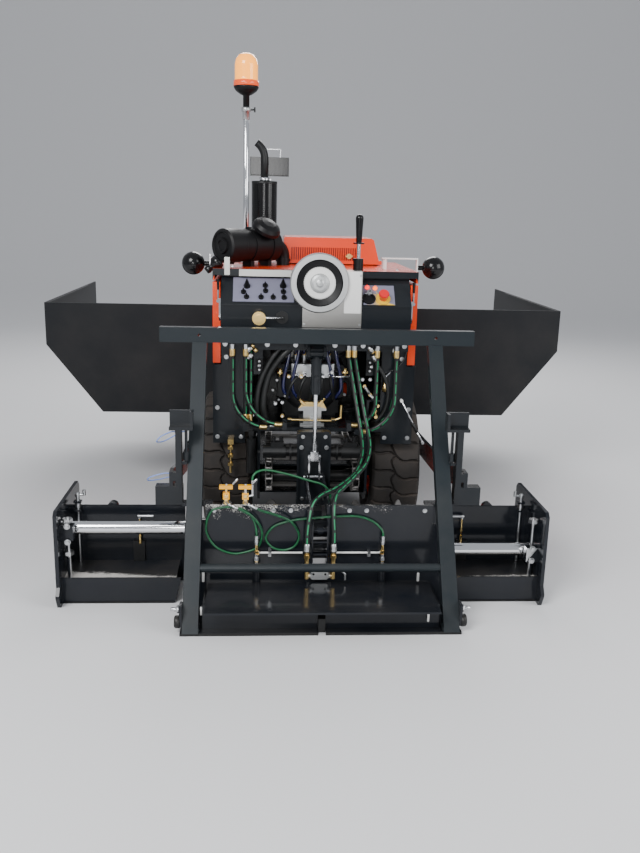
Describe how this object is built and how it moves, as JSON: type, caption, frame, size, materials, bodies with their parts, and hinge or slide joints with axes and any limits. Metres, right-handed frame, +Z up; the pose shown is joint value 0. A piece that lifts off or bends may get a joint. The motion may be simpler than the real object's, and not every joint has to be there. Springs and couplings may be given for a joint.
{
  "type": "compact wheeled asphalt paver",
  "caption": "Compact wheeled asphalt paver with folding hopper wings, slat conveyor, augers, and a lifting screed with sliding extensions.",
  "frame": {"origin": "on the ground, under the middle of the machine's outline with the hopper wings open", "axes": "+Y is the paving direction, towards the hopper; +X is the machine's right side seen from behind; +Z is up"},
  "size_m": [2.84, 3.44, 2.32],
  "materials": {
    "paint": "gloss dark grey paint",
    "orange": "gloss orange-red paint",
    "black": "black paint",
    "tyre": "black tyre rubber",
    "chrome": "chrome plated",
    "steel": "bare and zinc-plated steel",
    "amber": "amber plastic",
    "yellow": "yellow paint and brass",
    "rubber": "black hose rubber",
    "green": "green gas hose",
    "blue": "pale blue wire insulation"
  },
  "bodies": {
    "chassis": {"chassis_frame": "paint", "body_panels": "paint", "hopper_trough": "paint", "conveyor": "steel", "front_beam": "paint", "engine": "black", "hydraulics": "steel", "auger_case": "paint", "drive_motors": "black", "front_axle": "paint", "console": "paint", "controls": "chrome", "deck": "orange", "air_cleaner": "black", "exhaust": "black", "beacon": "amber", "work_lamps": "black", "bay_hoses": "rubber"},
    "hood": {"hood": "orange"},
    "door_left": {"door_left": "orange"},
    "door_right": {"door_right": "orange"},
    "wing_left": {"wing_left": "paint"},
    "wing_right": {"wing_right": "paint"},
    "wing_barrel_left": {"wing_barrel_left": "paint"},
    "wing_barrel_right": {"wing_barrel_right": "paint"},
    "wing_rod_left": {"wing_rod_left": "chrome"},
    "wing_rod_right": {"wing_rod_right": "chrome"},
    "push_roller_left": {"push_roller_left": "steel"},
    "push_roller_right": {"push_roller_right": "steel"},
    "knuckle_left": {"knuckle_left": "paint"},
    "knuckle_right": {"knuckle_right": "paint"},
    "front_wheel_left": {"front_wheel_left": "tyre"},
    "front_wheel_right": {"front_wheel_right": "tyre"},
    "rear_wheel_left": {"rear_tyre_left": "tyre", "rear_rim_left": "orange"},
    "rear_wheel_right": {"rear_tyre_right": "tyre", "rear_rim_right": "orange"},
    "auger_left": {"auger_left": "steel"},
    "auger_right": {"auger_right": "steel"},
    "lift_barrel": {"lift_barrel": "paint"},
    "lift_rod": {"lift_rod": "chrome"},
    "screed": {"tow_arms": "paint", "main_screed": "paint", "operator_frame": "paint", "step_plate": "paint", "screed_fittings": "yellow", "hose_screed_left": "rubber", "hose_screed_right": "rubber", "gas_hose_left": "green", "gas_hose_right": "green", "gas_feed_hose": "green", "wire_upper": "blue", "wire_lower": "blue"},
    "extension_left": {"extension_left": "paint", "guide_tube_left": "chrome"},
    "extension_right": {"extension_right": "paint", "guide_tube_right": "chrome"}
  },
  "joints": [
    {"name": "rear_wheel_left_spin", "type": "hinge", "parent": "chassis", "child": "rear_wheel_left", "pos_m": [-0.41, -0.4, 0.35], "axis": [1, 0, 0], "continuous": true},
    {"name": "rear_wheel_right_spin", "type": "hinge", "parent": "chassis", "child": "rear_wheel_right", "pos_m": [0.41, -0.4, 0.35], "axis": [1, 0, 0], "continuous": true},
    {"name": "steer_left", "type": "hinge", "parent": "chassis", "child": "knuckle_left", "pos_m": [-0.33, 0.95, 0.225], "axis": [0, 0, 1], "range_deg": [-20, 20]},
    {"name": "steer_right", "type": "hinge", "parent": "chassis", "child": "knuckle_right", "pos_m": [0.33, 0.95, 0.225], "axis": [0, 0, 1], "range_deg": [-20, 20]},
    {"name": "front_wheel_left_spin", "type": "hinge", "parent": "knuckle_left", "child": "front_wheel_left", "pos_m": [-0.455, 0.95, 0.225], "axis": [1, 0, 0], "continuous": true},
    {"name": "front_wheel_right_spin", "type": "hinge", "parent": "knuckle_right", "child": "front_wheel_right", "pos_m": [0.455, 0.95, 0.225], "axis": [1, 0, 0], "continuous": true},
    {"name": "wing_left_fold", "type": "hinge", "parent": "chassis", "child": "wing_left", "pos_m": [-0.462, 0, 0.488], "axis": [0, 1, 0], "range_deg": [0, 48]},
    {"name": "wing_right_fold", "type": "hinge", "parent": "chassis", "child": "wing_right", "pos_m": [0.462, 0, 0.488], "axis": [0, -1, 0], "range_deg": [0, 48]},
    {"name": "wing_cylinder_left_swing", "type": "hinge", "parent": "chassis", "child": "wing_barrel_left", "pos_m": [-0.33, 0.58, 0.236], "axis": [0, 1, 0], "range_deg": [0, 31.2]},
    {"name": "wing_cylinder_right_swing", "type": "hinge", "parent": "chassis", "child": "wing_barrel_right", "pos_m": [0.33, 0.58, 0.236], "axis": [0, -1, 0], "range_deg": [0, 31.2]},
    {"name": "wing_rod_left_slide", "type": "slide", "parent": "wing_barrel_left", "child": "wing_rod_left", "axis": [-0.9383, 0, 0.3459], "range_m": [0, 0.109]},
    {"name": "wing_rod_right_slide", "type": "slide", "parent": "wing_barrel_right", "child": "wing_rod_right", "axis": [0.9383, 0, 0.3459], "range_m": [0, 0.109]},
    {"name": "push_roller_left_spin", "type": "hinge", "parent": "chassis", "child": "push_roller_left", "pos_m": [-0.246, 1.66, 0.45], "axis": [1, 0, 0], "continuous": true},
    {"name": "push_roller_right_spin", "type": "hinge", "parent": "chassis", "child": "push_roller_right", "pos_m": [0.246, 1.66, 0.45], "axis": [1, 0, 0], "continuous": true},
    {"name": "auger_left_spin", "type": "hinge", "parent": "chassis", "child": "auger_left", "pos_m": [-0.27, -0.92, 0.2], "axis": [1, 0, 0], "continuous": true},
    {"name": "auger_right_spin", "type": "hinge", "parent": "chassis", "child": "auger_right", "pos_m": [0.27, -0.92, 0.2], "axis": [1, 0, 0], "continuous": true},
    {"name": "hood_hinge", "type": "hinge", "parent": "chassis", "child": "hood", "pos_m": [0.107, 0.028, 1.35], "axis": [-1, 0, 0], "range_deg": [0, 60]},
    {"name": "door_left_hinge", "type": "hinge", "parent": "chassis", "child": "door_left", "pos_m": [-0.476, -0.022, 1.095], "axis": [0, 0, -1], "range_deg": [0, 90]},
    {"name": "door_right_hinge", "type": "hinge", "parent": "chassis", "child": "door_right", "pos_m": [0.476, -0.022, 1.095], "axis": [0, 0, 1], "range_deg": [0, 90]},
    {"name": "screed_lift", "type": "hinge", "parent": "chassis", "child": "screed", "pos_m": [0, 0.35, 0.36], "axis": [-1, 0, 0], "range_deg": [0, 6], "deforming": ["hose_screed_left", "hose_screed_right"]},
    {"name": "lift_cylinder_swing", "type": "hinge", "parent": "chassis", "child": "lift_barrel", "pos_m": [0, -0.905, 0.985], "axis": [1, 0, 0], "range_deg": [0, 2]},
    {"name": "lift_rod_slide", "type": "slide", "parent": "lift_barrel", "child": "lift_rod", "axis": [0, 0, 1], "range_m": [0, 0.134]},
    {"name": "extension_left_slide", "type": "slide", "parent": "screed", "child": "extension_left", "axis": [-1, 0, 0], "range_m": [-0.47, 0]},
    {"name": "extension_right_slide", "type": "slide", "parent": "screed", "child": "extension_right", "axis": [1, 0, 0], "range_m": [-0.36, 0.12]}
  ],
  "couplings": [
    {"joint": "steer_right", "follows": "steer_left", "ratio": 1},
    {"joint": "wing_cylinder_left_swing", "follows": "wing_left_fold", "ratio": 0.629},
    {"joint": "wing_cylinder_right_swing", "follows": "wing_right_fold", "ratio": 0.629},
    {"joint": "wing_rod_left_slide", "follows": "wing_left_fold", "m_per_rad": 0.12702},
    {"joint": "wing_rod_right_slide", "follows": "wing_right_fold", "m_per_rad": 0.12702},
    {"joint": "lift_cylinder_swing", "follows": "screed_lift", "ratio": 0.26},
    {"joint": "lift_rod_slide", "follows": "screed_lift", "m_per_rad": 1.2433}
  ]
}
